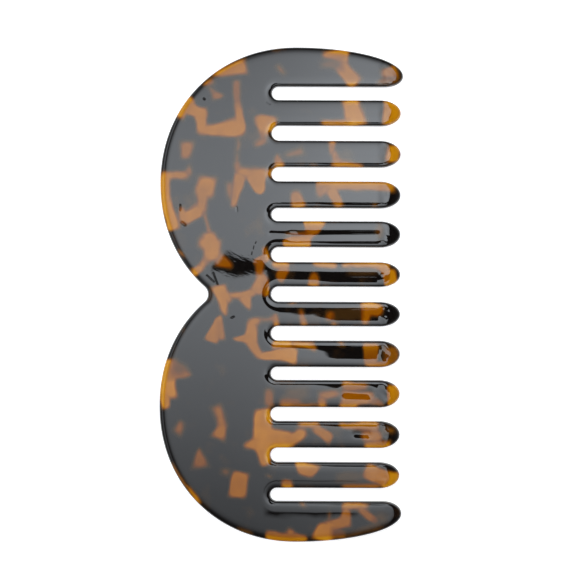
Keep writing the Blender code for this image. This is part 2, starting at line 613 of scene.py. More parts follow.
def polished_mesh(mesh: bpy.types.Mesh) -> None:
    """Weld a mesh, turn its faces outwards and shade it smooth but for its flat cuts.

    Args:
        mesh: The mesh to finish.
    """
    work = bmesh.new()
    work.from_mesh(mesh)
    bmesh.ops.remove_doubles(work, verts=work.verts, dist=WELD_DISTANCE)
    bmesh.ops.dissolve_degenerate(work, edges=work.edges, dist=WELD_DISTANCE)
    bmesh.ops.recalc_face_normals(work, faces=work.faces)
    work.to_mesh(mesh)
    work.free()
    mesh.shade_smooth()
    mesh.set_sharp_from_angle(angle=SHARP_ANGLE)


@dataclass
class Teeth:
    """The twelve teeth: ten ordinary ones and a curved one at each end."""

    plan: CombPlan
    profile: RimProfile
    waviness: float = 0.12
    leans: Tuple[float, ...] = (0.0, 0.0, 0.0, 0.0, 0.0, 0.008, 0.006, 0.015, 0.0, 0.0, 0.0, 0.0)

    def ordinary(self, number: int) -> ToothForm:
        """Sizes of a straight tooth with a round tip.

        Args:
            number: Its number, counted from the upper end.

        Returns:
            The tooth's inputs for the tree.
        """
        plan, roll = self.plan, self.profile.slot_roll
        upper, lower = plan.slot(number - 1)[0], plan.slot(number)[1]
        half = (upper - lower) / 2
        return ToothForm(
            root_x=plan.split_x,
            tip_x=plan.tip_x,
            tip_y=(upper + lower) / 2,
            inner_reach=plan.tip_length,
            inner_rise=half,
            outer_reach=plan.tip_length,
            outer_rise=half,
            outer_fall=0.0,
            side=1.0,
            lean=self.leans[number - 1],
            inner_roll=roll,
            outer_roll=roll,
            half_thickness=plan.mid_z,
            fall_start=plan.tip_x - plan.tip_fall,
        )

    def end(self, side: Side) -> ToothForm:
        """Sizes of an end tooth, whose outer edge is the flank of its lobe.

        Args:
            side: The end of the comb it stands at.

        Returns:
            The tooth's inputs for the tree.
        """
        plan = self.plan
        crown_x = plan.back_x + plan.lobe_radius
        reach = ((crown_x - plan.split_x) / plan.lobe_radius) ** plan.lobe_fullness
        fall = plan.lobe_radius * (1 - (1 - reach) ** (1 / plan.lobe_fullness))
        edge = plan.slot(1)[1] if side is Side.UPPER else -plan.slot(plan.tooth_count - 1)[0]
        return ToothForm(
            root_x=plan.split_x,
            tip_x=plan.end_tip_x,
            tip_y=side.value * plan.end_tip_y,
            inner_reach=plan.end_tip_length,
            inner_rise=plan.end_tip_y - edge,
            outer_reach=plan.end_tip_x - crown_x,
            outer_rise=plan.half_length - plan.end_tip_y,
            outer_fall=fall,
            side=float(side.value),
            lean=0.0,
            inner_roll=self.profile.slot_roll,
            outer_roll=self.profile.outer_roll,
            half_thickness=plan.mid_z,
            fall_start=plan.end_tip_x - plan.end_tip_fall,
        )

    def build(self, finish: "TortoiseshellFinish") -> List[bpy.types.Object]:
        """Make every tooth from the tree and dress it.

        Args:
            finish: The finish of the comb.

        Returns:
            The teeth, from the upper end.
        """
        tree = ToothTree(self.profile).build()
        sockets = {
            item.name: item.identifier for item in tree.interface.items_tree if item.in_out == "INPUT"
        }
        ends = {1: Side.UPPER, self.plan.tooth_count: Side.LOWER}
        pieces = []
        for number in range(1, self.plan.tooth_count + 1):
            node = f"tooth_{number:02d}"
            form = self.end(ends[number]) if number in ends else self.ordinary(number)
            material = finish.material(node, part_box(node), self.waviness)
            pieces.append(self.evaluate(tree, sockets, form, material, node))
        return pieces

    @staticmethod
    def evaluate(tree: bpy.types.NodeTree, sockets: Dict[str, str], form: ToothForm,
                 material: bpy.types.Material, node: str) -> bpy.types.Object:
        """Run the tree for one tooth and keep its mesh.

        Args:
            tree: The tooth tree.
            sockets: Identifier of each of its inputs.
            form: The tooth's sizes.
            material: Its finish.
            node: The CAD node it stands for.

        Returns:
            The finished tooth.
        """
        former = bpy.data.objects.new("forming_" + node, bpy.data.meshes.new("forming"))
        bpy.context.scene.collection.objects.link(former)
        modifier = former.modifiers.new("tooth_form", "NODES")
        modifier.node_group = tree
        for field in fields(ToothForm):
            modifier[sockets[ToothForm.socket_name(field.name)]] = getattr(form, field.name)
        modifier[sockets["Material"]] = material
        evaluated = former.evaluated_get(bpy.context.evaluated_depsgraph_get())
        mesh = bpy.data.meshes.new_from_object(evaluated)
        bpy.data.objects.remove(former, do_unlink=True)
        mesh.name = "polished_" + node
        polished_mesh(mesh)
        mesh.materials.clear()
        mesh.materials.append(material)
        return placed(mesh, node)


@dataclass
class Back:
    """The double-lobed back: rings inside its outline, cut into an upper and a lower lobe."""

    plan: CombPlan
    profile: RimProfile
    stub: float = 6.0 * MM
    slot_steps: int = 28
    lobe_steps: int = 200
    waist_steps: int = 10
    waviness: float = 1.0

    def lobe_edge(self, angle: float, outward: float = 0.0) -> Point:
        """Point on the upper lobe's edge, or at a distance beyond it.

        Args:
            angle: Turn from +X about the lobe's middle.
            outward: Distance beyond the edge.

        Returns:
            The point.
        """
        plan = self.plan
        radius, power = plan.lobe_radius, 2 / plan.lobe_fullness
        cosine, sine = math.cos(angle), math.sin(angle)
        point = Vector((abs(cosine) ** power, abs(sine) ** power)) * radius
        normal = Vector((abs(cosine) ** (2 - power), abs(sine) ** (2 - power)))
        point += normal.normalized() * outward
        x = plan.back_x + radius + math.copysign(point.x, cosine)
        return x, plan.half_length - radius + math.copysign(point.y, sine)

    def roots(self) -> List[EdgePoint]:
        """Outline of the slots' round ends and of the stubs between them, from the lowest slot up.

        Returns:
            The points, each with the width of its roll.
        """
        plan, profile = self.plan, self.profile
        stub_x = plan.split_x + self.stub
        end_x = plan.slot_centre_x - plan.slot_radius
        points: List[EdgePoint] = []
        for number in range(plan.tooth_count - 1, 0, -1):
            low, high = plan.slot(number)
            middle, radius = (low + high) / 2, (high - low) / 2
            points.append((stub_x, low, profile.slot_roll))
            for step in range(self.slot_steps + 1):
                angle = math.pi * (1.5 - step / self.slot_steps)
                x = end_x + radius * (1 + math.cos(angle))
                roll = blended(profile.slot_roll, profile.slot_end_roll, max(-math.cos(angle), 0.0))
                points.append((x, middle + radius * math.sin(angle), roll))
            points.append((stub_x, high, profile.slot_roll))
        return points

    def flank(self) -> List[EdgePoint]:
        """Outline of the upper lobe, from its stub over the crown and down the back to the waist.

        Returns:
            The points, each with the width of its roll.
        """
        plan, roll = self.plan, self.profile.outer_roll
        points: List[EdgePoint] = [(plan.split_x + self.stub, plan.half_length, roll)]
        fillet = plan.waist_fillet
        last = root_between(lambda angle: self.lobe_edge(angle, fillet)[1], math.pi, 3 * QUARTER)
        for step in range(self.lobe_steps + 1):
            edge = self.lobe_edge(QUARTER + (last - QUARTER) * step / self.lobe_steps)
            points.append((*edge, roll))
        centre_x = self.lobe_edge(last, fillet)[0]
        rise = math.asin(points[-1][1] / fillet)
        for step in range(1, self.waist_steps + 1):
            angle = rise * (1 - step / self.waist_steps)
            across, up = fillet * math.cos(angle), fillet * math.sin(angle)
            points.append((centre_x + across, up, roll))
        return points

    def outline(self) -> List[EdgePoint]:
        """Outline of the whole back with the stubs of its teeth, counter-clockwise."""
        flank = self.flank()
        return self.roots() + flank + [(x, -y, roll) for x, y, roll in reversed(flank[:-1])]

    def sheet(self) -> bmesh.types.BMesh:
        """The whole back as one mesh with a rounded rim.

        Returns:
            The mesh, with the direction of its polished surface kept at each point.
        """
        edge_points = self.outline()
        outline = [Vector(point[:2]) for point in edge_points]
        rims = [self.profile.depths(point[2]) for point in edge_points]
        inward = []
        for index, point in enumerate(outline):
            before = (point - outline[index - 1]).normalized()
            after = (outline[(index + 1) % len(outline)] - point).normalized()
            turned = Vector((-before.y - after.y, before.x + after.x))
            inward.append(turned / (1 + before.dot(after)))

        sheet = bmesh.new()
        mid_z, half = self.plan.mid_z, self.plan.thickness / 2
        edge = [sheet.verts.new((point.x, point.y, mid_z)) for point in outline]
        for face in (1, -1):
            ring = edge
            for step in range(1, len(rims[0])):
                inner = []
                for point, turn, rim, (_, _, roll) in zip(outline, inward, rims, edge_points):
                    place = point + turn * rim[step]
                    height = self.profile.height(rim[step], half, roll)
                    inner.append(sheet.verts.new((place.x, place.y, mid_z + face * height)))
                for index in range(len(outline)):
                    corners = [ring[index - 1], ring[index], inner[index], inner[index - 1]]
                    sheet.faces.new(corners[::face])
                ring = inner
            sheet.faces.new(ring[::face])
        sheet.normal_update()
        kept = sheet.verts.layers.float_vector.new("polish")
        for vert in sheet.verts:
            vert[kept] = vert.normal
        return sheet

    def build(self, finish: "TortoiseshellFinish") -> List[bpy.types.Object]:
        """Cut the back into its lobes and dress them.

        Args:
            finish: The finish of the comb.

        Returns:
            The upper and the lower lobe.
        """
        sheet = self.sheet()
        pieces = []
        for side in Side:
            node = side.name.lower() + "_lobe"
            lobe = sheet.copy()
            cut_away(lobe, (self.plan.split_x, 0, 0), (1, 0, 0))
            cut_away(lobe, (0, 0, 0), (0, -side.value, 0))
            mesh = lobe_mesh(lobe, node)
            mesh.materials.append(finish.material(node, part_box(node), self.waviness))
            pieces.append(placed(mesh, node))
        sheet.free()
        return pieces


def cut_away(piece: bmesh.types.BMesh, point: Sequence[float], outward: Sequence[float]) -> None:
    """Remove what lies on the outward side of a plane and close the cut.

    Args:
        piece: The mesh to cut.
        point: A point of the plane.
        outward: The plane's direction.
    """
    geometry = piece.verts[:] + piece.edges[:] + piece.faces[:]
    bmesh.ops.bisect_plane(
        piece, geom=geometry, dist=WELD_DISTANCE, plane_co=point, plane_no=outward, clear_outer=True
    )
    opened = [item for item in piece.edges if item.is_boundary]
    bmesh.ops.holes_fill(piece, edges=opened, sides=0)


def lobe_mesh(lobe: bmesh.types.BMesh, node: str) -> bpy.types.Mesh:
    """Turn a cut lobe into a mesh whose polish runs on across the cuts.

    Args:
        lobe: The cut lobe, freed here.
        node: The CAD node it stands for.

    Returns:
        The mesh, with its shading directions set.
    """
    bmesh.ops.recalc_face_normals(lobe, faces=lobe.faces)
    lobe.normal_update()
    kept = lobe.verts.layers.float_vector["polish"]
    directions = []
    for face in lobe.faces:
        face.smooth = True
        flat = max(abs(face.normal.x), abs(face.normal.y)) > CUT_SQUARENESS
        for loop in face.loops:
            polish = loop.vert[kept].normalized()
            # A flat cut keeps its own direction, unless the polish points nearly the same way there
            cut = flat and polish.dot(face.normal) < POLISH_AGREEMENT
            directions.append(face.normal.copy() if cut else polish)
    mesh = bpy.data.meshes.new("polished_" + node)
    lobe.to_mesh(mesh)
    lobe.free()
    mesh.normals_split_custom_set(directions)
    return mesh


def placed(mesh: bpy.types.Mesh, node: str) -> bpy.types.Object:
    """Put a finished mesh in the scene in place of its CAD node.

    Args:
        mesh: The mesh, already where it belongs.
        node: The CAD node it stands for.

    Returns:
        The piece.
    """
    piece = bpy.data.objects.new("polished_" + node, mesh)
    bpy.context.scene.collection.objects.link(piece)
    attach(piece, BODY)
    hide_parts(node)
    return piece


@dataclass(frozen=True)
class Mark:
    """A straight mark in the plane of the sheet, from one end to the other, in millimetres."""

    start_x: float
    start_y: float
    end_x: float
    end_y: float

    def ends(self, height: float) -> Box:
        """Its two ends in metres, at a height given in millimetres."""
        start = Vector((self.start_x, self.start_y, height)) * MM
        return start, Vector((self.end_x, self.end_y, height)) * MM

    def meets(self, box: Box, room: float) -> bool:
        """Whether the mark, with room round it, meets the plan of a box.

        Args:
            box: The box's lowest and highest corner, in metres.
            room: Width of the room round the mark.

        Returns:
            True where the two overlap.
        """
        low, high = box
        spans = ((self.start_x, self.end_x, low.x, high.x), (self.start_y, self.end_y, low.y, high.y))
        return all(
            max(start, end) + room > first / MM and min(start, end) - room < last / MM
            for start, end, first, last in spans
        )


@dataclass(frozen=True)
class Flake(Mark):
    """An amber chip in the sheet."""

    start_width: float
    end_width: float
    strength: float = 1.0
    softness: float = 0.8

    def near(self, box: Box, margin: float) -> bool:
        """Whether the chip, with a margin round it, may show inside a box."""
        return self.meets(box, max(self.start_width, self.end_width) / 2 + self.softness + margin)


FLAKES: Tuple[Flake, ...] = (
    # Crown and outer shoulder of the upper lobe
    Flake(-20.6, 66.6, -10.4, 68.9, 1.5, 5.0, 1.0, 1.1),
    Flake(-23.4, 63.4, -20.2, 64.8, 1.2, 2.0, 0.7),
    Flake(-21.6, 63.0, -20.2, 60.6, 1.2, 1.6, 0.45, 1.0),
    Flake(-20.9, 60.2, -17.4, 59.9, 3.0, 0.9, 0.7),
    Flake(-13.4, 64.4, -13.4, 56.0, 2.3, 1.8, 0.6, 0.9),
    Flake(-13.2, 57.0, -12.8, 48.6, 1.8, 3.2, 0.9),
    Flake(-24.6, 56.6, -24.3, 48.8, 3.6, 2.6),
    Flake(-24.8, 49.7, -12.3, 50.6, 2.6, 5.4, 1.0, 1.0),
    Flake(-19.0, 50.8, -13.4, 52.2, 1.4, 3.4, 1.0, 1.2),
    Flake(-27.3, 59.3, -31.2, 53.0, 2.8, 3.2, 1.1),
    Flake(-28.6, 56.2, -23.0, 54.2, 4.5, 2.0),
    Flake(-28.4, 46.4, -28.6, 40.9, 3.8, 2.8, 0.8, 1.1),
    Flake(-27.6, 39.0, -28.2, 36.0, 0.8, 2.0, 0.5, 1.0),
    Flake(-13.6, 47.4, -13.5, 43.0, 1.2, 1.3, 0.42, 0.9),
    Flake(-13.6, 43.0, -13.4, 37.6, 1.0, 1.6, 0.40, 0.9),
    Flake(-1.4, 69.2, 1.2, 66.3, 1.4, 1.4, 0.5, 0.9),
    # Roots of the upper teeth
    Flake(-8.0, 52.5, -0.8, 52.9, 2.6, 1.6, 0.9, 1.0),
    Flake(-5.5, 53.0, -6.1, 46.6, 5.4, 2.4, 0.95, 1.2),
    Flake(-10.8, 48.4, -7.0, 46.4, 3.2, 3.0, 0.16, 1.5),
    Flake(-5.0, 46.6, -8.4, 45.2, 1.6, 0.9, 0.65),
    Flake(-1.6, 52.2, -3.7, 49.2, 1.8, 2.4, 1.0, 0.6),
    Flake(-1.6, 42.3, -0.9, 38.8, 1.0, 2.6, 0.7),
    Flake(0.2, 39.4, -3.8, 36.2, 1.6, 2.0, 0.85, 0.6),
    Flake(-13.3, 37.4, -4.2, 37.0, 2.8, 2.8, 0.95, 1.2),
    Flake(-7.7, 37.0, -6.2, 30.6, 6.2, 1.4, 1.0, 0.6),
    Flake(-12.3, 36.6, -14.2, 26.4, 3.6, 1.6, 0.9),
    Flake(-15.6, 34.0, -15.3, 28.5, 2.0, 1.6, 0.6, 1.2),
    Flake(0.6, 41.6, 6.8, 43.6, 1.4, 2.8, 0.5, 1.2),
    # Back of the upper lobe, down to the waist
    Flake(-36.3, 36.0, -28.2, 35.6, 2.6, 2.2, 0.9, 1.0),
    Flake(-35.4, 36.5, -35.2, 27.0, 2.8, 2.6, 1.15),
    Flake(-35.1, 28.4, -32.4, 19.4, 2.6, 4.0, 1.15),
    Flake(-25.8, 33.2, -20.2, 32.0, 5.2, 6.2, 1.0, 1.2),
    Flake(-28.6, 30.0, -26.6, 26.0, 3.0, 3.0, 0.2, 1.6),
    Flake(-23.6, 33.0, -24.2, 25.0, 3.8, 2.4, 0.85, 1.1),
    Flake(-29.6, 22.4, -24.0, 26.0, 4.0, 3.2),
    Flake(-30.4, 26.4, -29.4, 21.6, 1.6, 2.6, 0.95),
    Flake(-23.5, 24.8, -21.4, 18.6, 0.8, 1.0, 0.55, 0.6),
    Flake(-21.8, 18.7, -20.7, 10.2, 3.6, 5.4, 1.0, 1.0),
    Flake(-25.0, 15.6, -18.8, 14.0, 3.2, 5.0, 1.0, 1.2),
    Flake(-22.4, 10.6, -24.4, 8.6, 2.4, 1.8, 0.75, 1.0),
    Flake(-26.8, 6.8, -23.4, 9.0, 2.8, 1.4, 1.05),
    Flake(-30.8, 13.6, -29.2, 11.4, 0.9, 0.9, 0.5),
    Flake(-19.0, 10.6, -14.6, 8.2, 4.2, 1.2, 0.9),
    Flake(-8.2, 9.4, -4.4, 11.0, 1.6, 2.6, 0.8, 0.6),
    Flake(-4.8, 14.8, -4.2, 9.8, 1.4, 2.2, 0.75, 0.6),
    Flake(-6.4, 10.4, -6.4, 4.6, 2.6, 2.0, 0.8),
    Flake(-5.2, 5.6, -8.0, 0.4, 2.6, 3.8),
    Flake(-4.8, 4.4, -5.0, -0.6, 1.4, 1.8, 0.8, 0.6),
    Flake(-18.8, 2.4, -16.9, -6.2, 4.2, 1.0, 1.05),
    Flake(-18.0, 0.2, -15.4, -2.2, 3.0, 2.0),
    Flake(-16.2, -0.7, -8.0, 0.6, 1.4, 2.2, 0.95),
    Flake(-11.4, -0.2, -9.7, -4.6, 4.2, 0.8),
    # Back of the lower lobe
    Flake(-18.2, -6.4, -21.2, -14.8, 0.8, 4.2, 1.0, 0.6),
    Flake(-18.5, -8.0, -18.1, -14.4, 1.2, 2.2, 0.85),
    Flake(-9.6, -8.6, -5.6, -7.8, 2.8, 1.2, 0.9),
    Flake(-6.0, -7.8, -2.0, -7.2, 0.9, 1.1, 0.55),
    Flake(-8.6, -8.2, -9.4, -14.6, 3.2, 3.8),
    Flake(-14.6, -13.7, -9.0, -13.2, 0.8, 2.8, 0.9, 0.6),
    Flake(-9.4, -13.6, -6.6, -18.6, 2.8, 2.0),
    Flake(-34.2, -19.8, -34.2, -31.2, 3.6, 5.4, 1.38, 0.9),
    Flake(-33.0, -23.3, -27.2, -24.0, 4.8, 0.8, 1.1, 1.0),
    Flake(-33.0, -22.2, -28.4, -22.6, 5.2, 2.2, 0.45, 1.6),
    Flake(-35.3, -30.0, -35.1, -34.4, 2.8, 2.6, 1.25),
    Flake(-19.6, -34.2, -17.6, -39.6, 3.0, 2.2, 0.85, 1.2),
    Flake(-17.4, -39.0, -19.0, -43.2, 1.8, 4.4, 0.95, 1.0),
    Flake(-29.4, -38.8, -31.4, -42.0, 1.8, 2.6, 0.75, 1.0),
    Flake(-11.9, -54.0, -13.0, -61.4, 4.6, 5.6),
    Flake(-24.5, -46.4, -24.4, -52.2, 0.8, 4.8, 0.72, 1.0),
    Flake(-18.4, -53.8, -15.4, -54.4, 1.8, 2.4, 0.42, 1.0),
    Flake(-33.4, -51.0, -28.0, -58.6, 0.9, 0.9, 0.5),
    Flake(-28.0, -58.4, -24.2, -63.0, 1.0, 1.4, 0.8),
    Flake(-13.0, -70.6, -8.6, -72.6, 1.0, 1.2, 0.28),
    Flake(-4.4, -55.0, -2.6, -55.6, 0.8, 0.8, 0.45),
    Flake(-3.8, -72.8, 8.5, -73.9, 2.8, 2.0, 0.92),
    Flake(2.6, -70.8, 3.4, -73.0, 1.4, 3.0, 0.85),
    # Roots of the lower teeth
    Flake(-1.7, -6.0, -1.5, -9.4, 1.6, 1.8, 0.85),
    Flake(-7.2, -18.4, 5.0, -18.6, 1.6, 4.8, 1.15, 0.6),
    Flake(-2.8, -15.2, 3.8, -15.2, 2.4, 2.2, 1.1, 0.6),
    Flake(3.4, -15.0, 10.2, -15.1, 1.6, 1.8, 0.8),
    Flake(-3.6, -28.4, -3.2, -33.8, 2.4, 2.8, 0.65, 1.0),
    Flake(0.2, -32.3, 6.4, -32.4, 2.2, 2.8, 0.85, 1.0),
    Flake(1.5, -29.8, 9.0, -30.0, 3.4, 3.6, 0.27, 1.5),
    Flake(4.0, -33.2, 11.0, -33.2, 1.2, 1.0, 0.5),
    Flake(-5.4, -34.8, -5.2, -44.0, 4.8, 5.4, 1.3),
    Flake(-4.0, -34.8, -4.0, -39.8, 2.4, 2.4, 1.15),
    Flake(-11.0, -45.4, -5.0, -44.6, 1.6, 4.6, 1.1, 1.0),
    Flake(-5.8, -44.0, -4.4, -51.9, 4.8, 2.8, 1.1),
    Flake(-6.0, -43.2, 3.6, -43.8, 6.6, 4.8, 1.25),
    Flake(2.6, -44.4, 7.8, -40.8, 3.8, 2.4, 1.1),
    # First and second teeth
    Flake(12.4, 72.6, 20.0, 72.2, 1.6, 4.2),
    Flake(17.0, 70.0, 22.6, 64.0, 4.2, 4.8, 0.95, 1.0),
    Flake(11.5, 69.6, 18.0, 69.8, 2.4, 2.6, 0.35, 1.2),
    Flake(30.0, 66.4, 35.0, 67.4, 2.8, 4.6, 0.85, 1.0),
    Flake(28.6, 64.4, 35.0, 64.8, 1.0, 1.6, 0.5),
    Flake(20.6, 59.2, 22.9, 51.3, 5.2, 6.8, 1.05, 1.1),
    Flake(11.8, 52.2, 20.5, 52.0, 1.8, 1.6, 0.75),
    Flake(30.6, 55.6, 36.6, 55.2, 7.4, 7.0),
    # Third and fourth teeth
    Flake(15.3, 46.6, 15.4, 42.6, 2.2, 1.6, 0.7),
    Flake(16.0, 43.4, 17.4, 39.8, 1.6, 2.8, 0.75),
    Flake(18.2, 42.4, 21.6, 41.6, 3.2, 3.0, 0.2, 1.4),
    Flake(15.4, 39.6, 24.5, 39.4, 1.6, 1.2, 0.85),
    Flake(8.8, 39.2, 10.6, 39.2, 0.8, 0.8, 0.35),
    Flake(31.5, 43.2, 36.2, 42.6, 4.8, 6.0, 1.0, 0.9),
    Flake(11.0, 33.3, 34.4, 33.0, 2.8, 2.9, 0.88, 0.9),
    Flake(13.4, 33.6, 11.3, 29.4, 4.4, 2.2, 0.65, 1.2),
    Flake(15.2, 32.4, 17.8, 26.6, 3.4, 2.6, 0.9),
    Flake(4.0, 31.6, 5.4, 26.5, 2.8, 4.2, 0.85),
    Flake(27.4, 27.8, 28.4, 26.6, 1.2, 1.4, 0.4),
    # Fifth and sixth teeth
    Flake(10.0, 22.4, 9.4, 18.4, 7.0, 3.4, 0.9, 0.6),
    Flake(9.8, 19.4, 7.2, 17.2, 2.6, 2.6, 0.85),
    Flake(0.8, 16.0, 8.8, 16.3, 2.4, 4.4, 1.0, 0.6),
    Flake(1.2, 18.6, 8.4, 18.6, 0.8, 0.9, 0.6),
    Flake(28.2, 19.3, 30.2, 19.0, 1.4, 2.4, 0.6),
    Flake(29.2, 21.4, 29.4, 16.6, 1.4, 1.4, 0.35, 1.0),
    Flake(-2.4, 9.0, 2.8, 8.6, 1.8, 2.2, 0.9),
    Flake(1.9, 8.2, -0.8, 4.6, 3.0, 2.4, 0.8, 0.6),
    Flake(10.2, 6.8, 9.6, 2.7, 1.8, 4.2, 0.82),
    Flake(9.8, 9.2, 16.6, 9.0, 1.4, 1.4, 0.75),
    Flake(18.2, 9.0, 29.0, 9.2, 1.2, 2.0, 0.8),
    Flake(20.4, 8.6, 21.2, 7.4, 1.6, 1.0, 0.6),
    Flake(31.4, 4.8, 35.2, 5.4, 5.2, 4.8, 0.96, 0.6),
    Flake(27.0, 9.2, 33.0, 7.8, 1.0, 4.0, 0.9),
    Flake(20.0, 7.0, 29.0, 7.0, 1.8, 1.8, 0.22, 1.0),
    # Seventh and eighth teeth
    Flake(25.7, -2.6, 25.8, -8.8, 3.4, 2.6, 0.95),
    Flake(26.0, -4.2, 31.2, -4.6, 4.4, 2.6, 0.95),
    Flake(14.0, -6.2, 17.4, -6.3, 2.8, 2.8, 0.72, 1.0),
    Flake(16.4, -7.4, 16.9, -9.4, 1.4, 1.6, 0.6),
    Flake(6.2, -4.8, 7.5, -9.5, 1.3, 2.2, 0.7),
    Flake(2.2, -3.0, 5.0, -3.0, 1.0, 1.0, 0.4),
    Flake(17.0, -6.0, 24.4, -6.0, 3.6, 3.6, 0.22, 1.0),
    Flake(27.6, -14.4, 27.3, -21.6, 5.0, 3.2, 0.72, 0.6),
    Flake(31.2, -18.2, 36.2, -18.0, 6.0, 5.0, 0.5, 1.2),
    Flake(26.6, -21.2, 33.0, -20.6, 1.4, 1.8, 0.75),
    Flake(17.6, -14.8, 19.6, -15.4, 1.4, 1.2, 0.45),
    Flake(9.0, -15.4, 10.8, -16.4, 1.8, 1.2, 0.65),
    # Ninth and tenth teeth
    Flake(18.8, -27.4, 26.4, -27.8, 2.8, 1.6, 0.85),
    Flake(18.4, -31.0, 28.2, -31.2, 4.2, 3.0, 0.95),
    Flake(12.0, -30.6, 17.6, -29.8, 2.4, 2.0, 0.8, 1.0),
    Flake(13.0, -31.0, 12.4, -34.2, 2.2, 2.8, 0.85),
    Flake(20.4, -32.0, 20.6, -34.2, 4.8, 5.4, 0.9),
    Flake(27.6, -32.0, 31.4, -33.0, 1.8, 1.2, 0.6),
    Flake(32.6, -30.6, 36.4, -30.4, 6.4, 6.4, 0.93, 0.6),
    Flake(9.8, -39.9, 15.2, -43.5, 1.8, 3.2, 0.9),
    Flake(5.8, -39.2, 11.2, -39.2, 1.4, 1.2, 0.85),
    Flake(17.6, -39.2, 29.6, -39.8, 1.2, 3.0, 0.85),
    Flake(24.6, -42.4, 30.6, -42.6, 2.4, 3.2, 0.95, 0.9),
    Flake(25.4, -45.2, 33.0, -45.2, 2.4, 2.6, 0.92),
    Flake(31.0, -40.6, 34.4, -41.0, 2.0, 1.6, 0.4, 1.0),
    # Eleventh and twelfth teeth
    Flake(8.2, -51.0, 7.4, -54.8, 8.6, 3.8),
    Flake(25.6, -53.0, 34.0, -56.4, 4.6, 5.2, 1.05),
    Flake(30.4, -56.4, 36.4, -55.6, 4.6, 4.4, 1.15),
    Flake(1.8, -56.0, 2.0, -58.8, 2.8, 3.4, 0.9),
    Flake(19.0, -58.0, 30.0, -58.0, 1.4, 1.4, 0.6),
    Flake(17.0, -55.4, 25.0, -55.4, 2.8, 2.8, 0.25, 1.2),
    Flake(18.8, -63.8, 27.0, -63.8, 1.6, 1.4, 0.9),
    Flake(20.4, -64.4, 19.6, -69.4, 2.0, 3.4),
    Flake(19.8, -68.2, 14.0, -70.2, 3.0, 3.8),
    Flake(14.4, -69.6, 12.8, -74.6, 4.4, 6.0, 1.15),
    Flake(24.0, -64.4, 29.8, -68.4, 1.6, 2.4, 0.8),
    Flake(6.0, -63.6, 7.8, -64.4, 1.2, 1.0, 0.5),
    Flake(14.4, -65.2, 14.6, -68.2, 0.8, 0.8, 0.5),
    Flake(15.8, -72.4, 20.0, -72.4, 3.0, 3.0, 0.45, 0.9),
    Flake(20.0, -72.4, 31.0, -69.2, 1.8, 2.4, 0.25, 1.0),
    Flake(29.6, -66.4, 32.8, -67.6, 2.6, 2.4, 0.28, 1.4),
)


@dataclass(frozen=True)
class Nick(Mark):
    """A nick or a shallow hollow in the polish of the upper face."""

    width: float
    depth: float

    def near(self, box: Box) -> bool:
        """Whether the nick may show inside a box."""
        return self.meets(box, self.width * 2)


NICKS: Tuple[Nick, ...] = (
    Nick(-23.6, 59.2, -23.4, 59.0, 0.27, 0.16),
    Nick(-14.9, -7.1, -14.3, -6.8, 0.26, 0.16),
    Nick(-4.6, 58.3, -3.6, 57.6, 0.22, 0.05),
    Nick(-22.4, 5.7, -20.3, 3.8, 0.20, 0.19),
    Nick(-20.5, 6.5, -19.2, 3.0, 0.21, 0.20),
    Nick(-7.5, 15.9, -7.8, 15.3, 0.13, 0.03),
    Nick(-8.2, 14.6, -8.4, 13.6, 0.13, 0.03),
    Nick(-8.7, 12.8, -8.9, 11.9, 0.13, 0.03),
    Nick(-30.6, 27.0, -30.6, 25.4, 0.24, 0.14),
    Nick(-30.0, 21.6, -29.2, 21.0, 0.40, 0.20),
    Nick(-13.5, 26.4, -13.4, 25.2, 0.30, 0.06),
    Nick(-3.0, 18.4, 4.0, 18.2, 0.8, 0.038),
    Nick(3.4, 17.8, 29.0, 18.1, 1.4, 0.078),
    Nick(20.2, -29.4, 26.2, -29.8, 1.7, 0.155),
    Nick(23.0, -41.9, 26.4, -42.1, 1.1, 0.143),
)


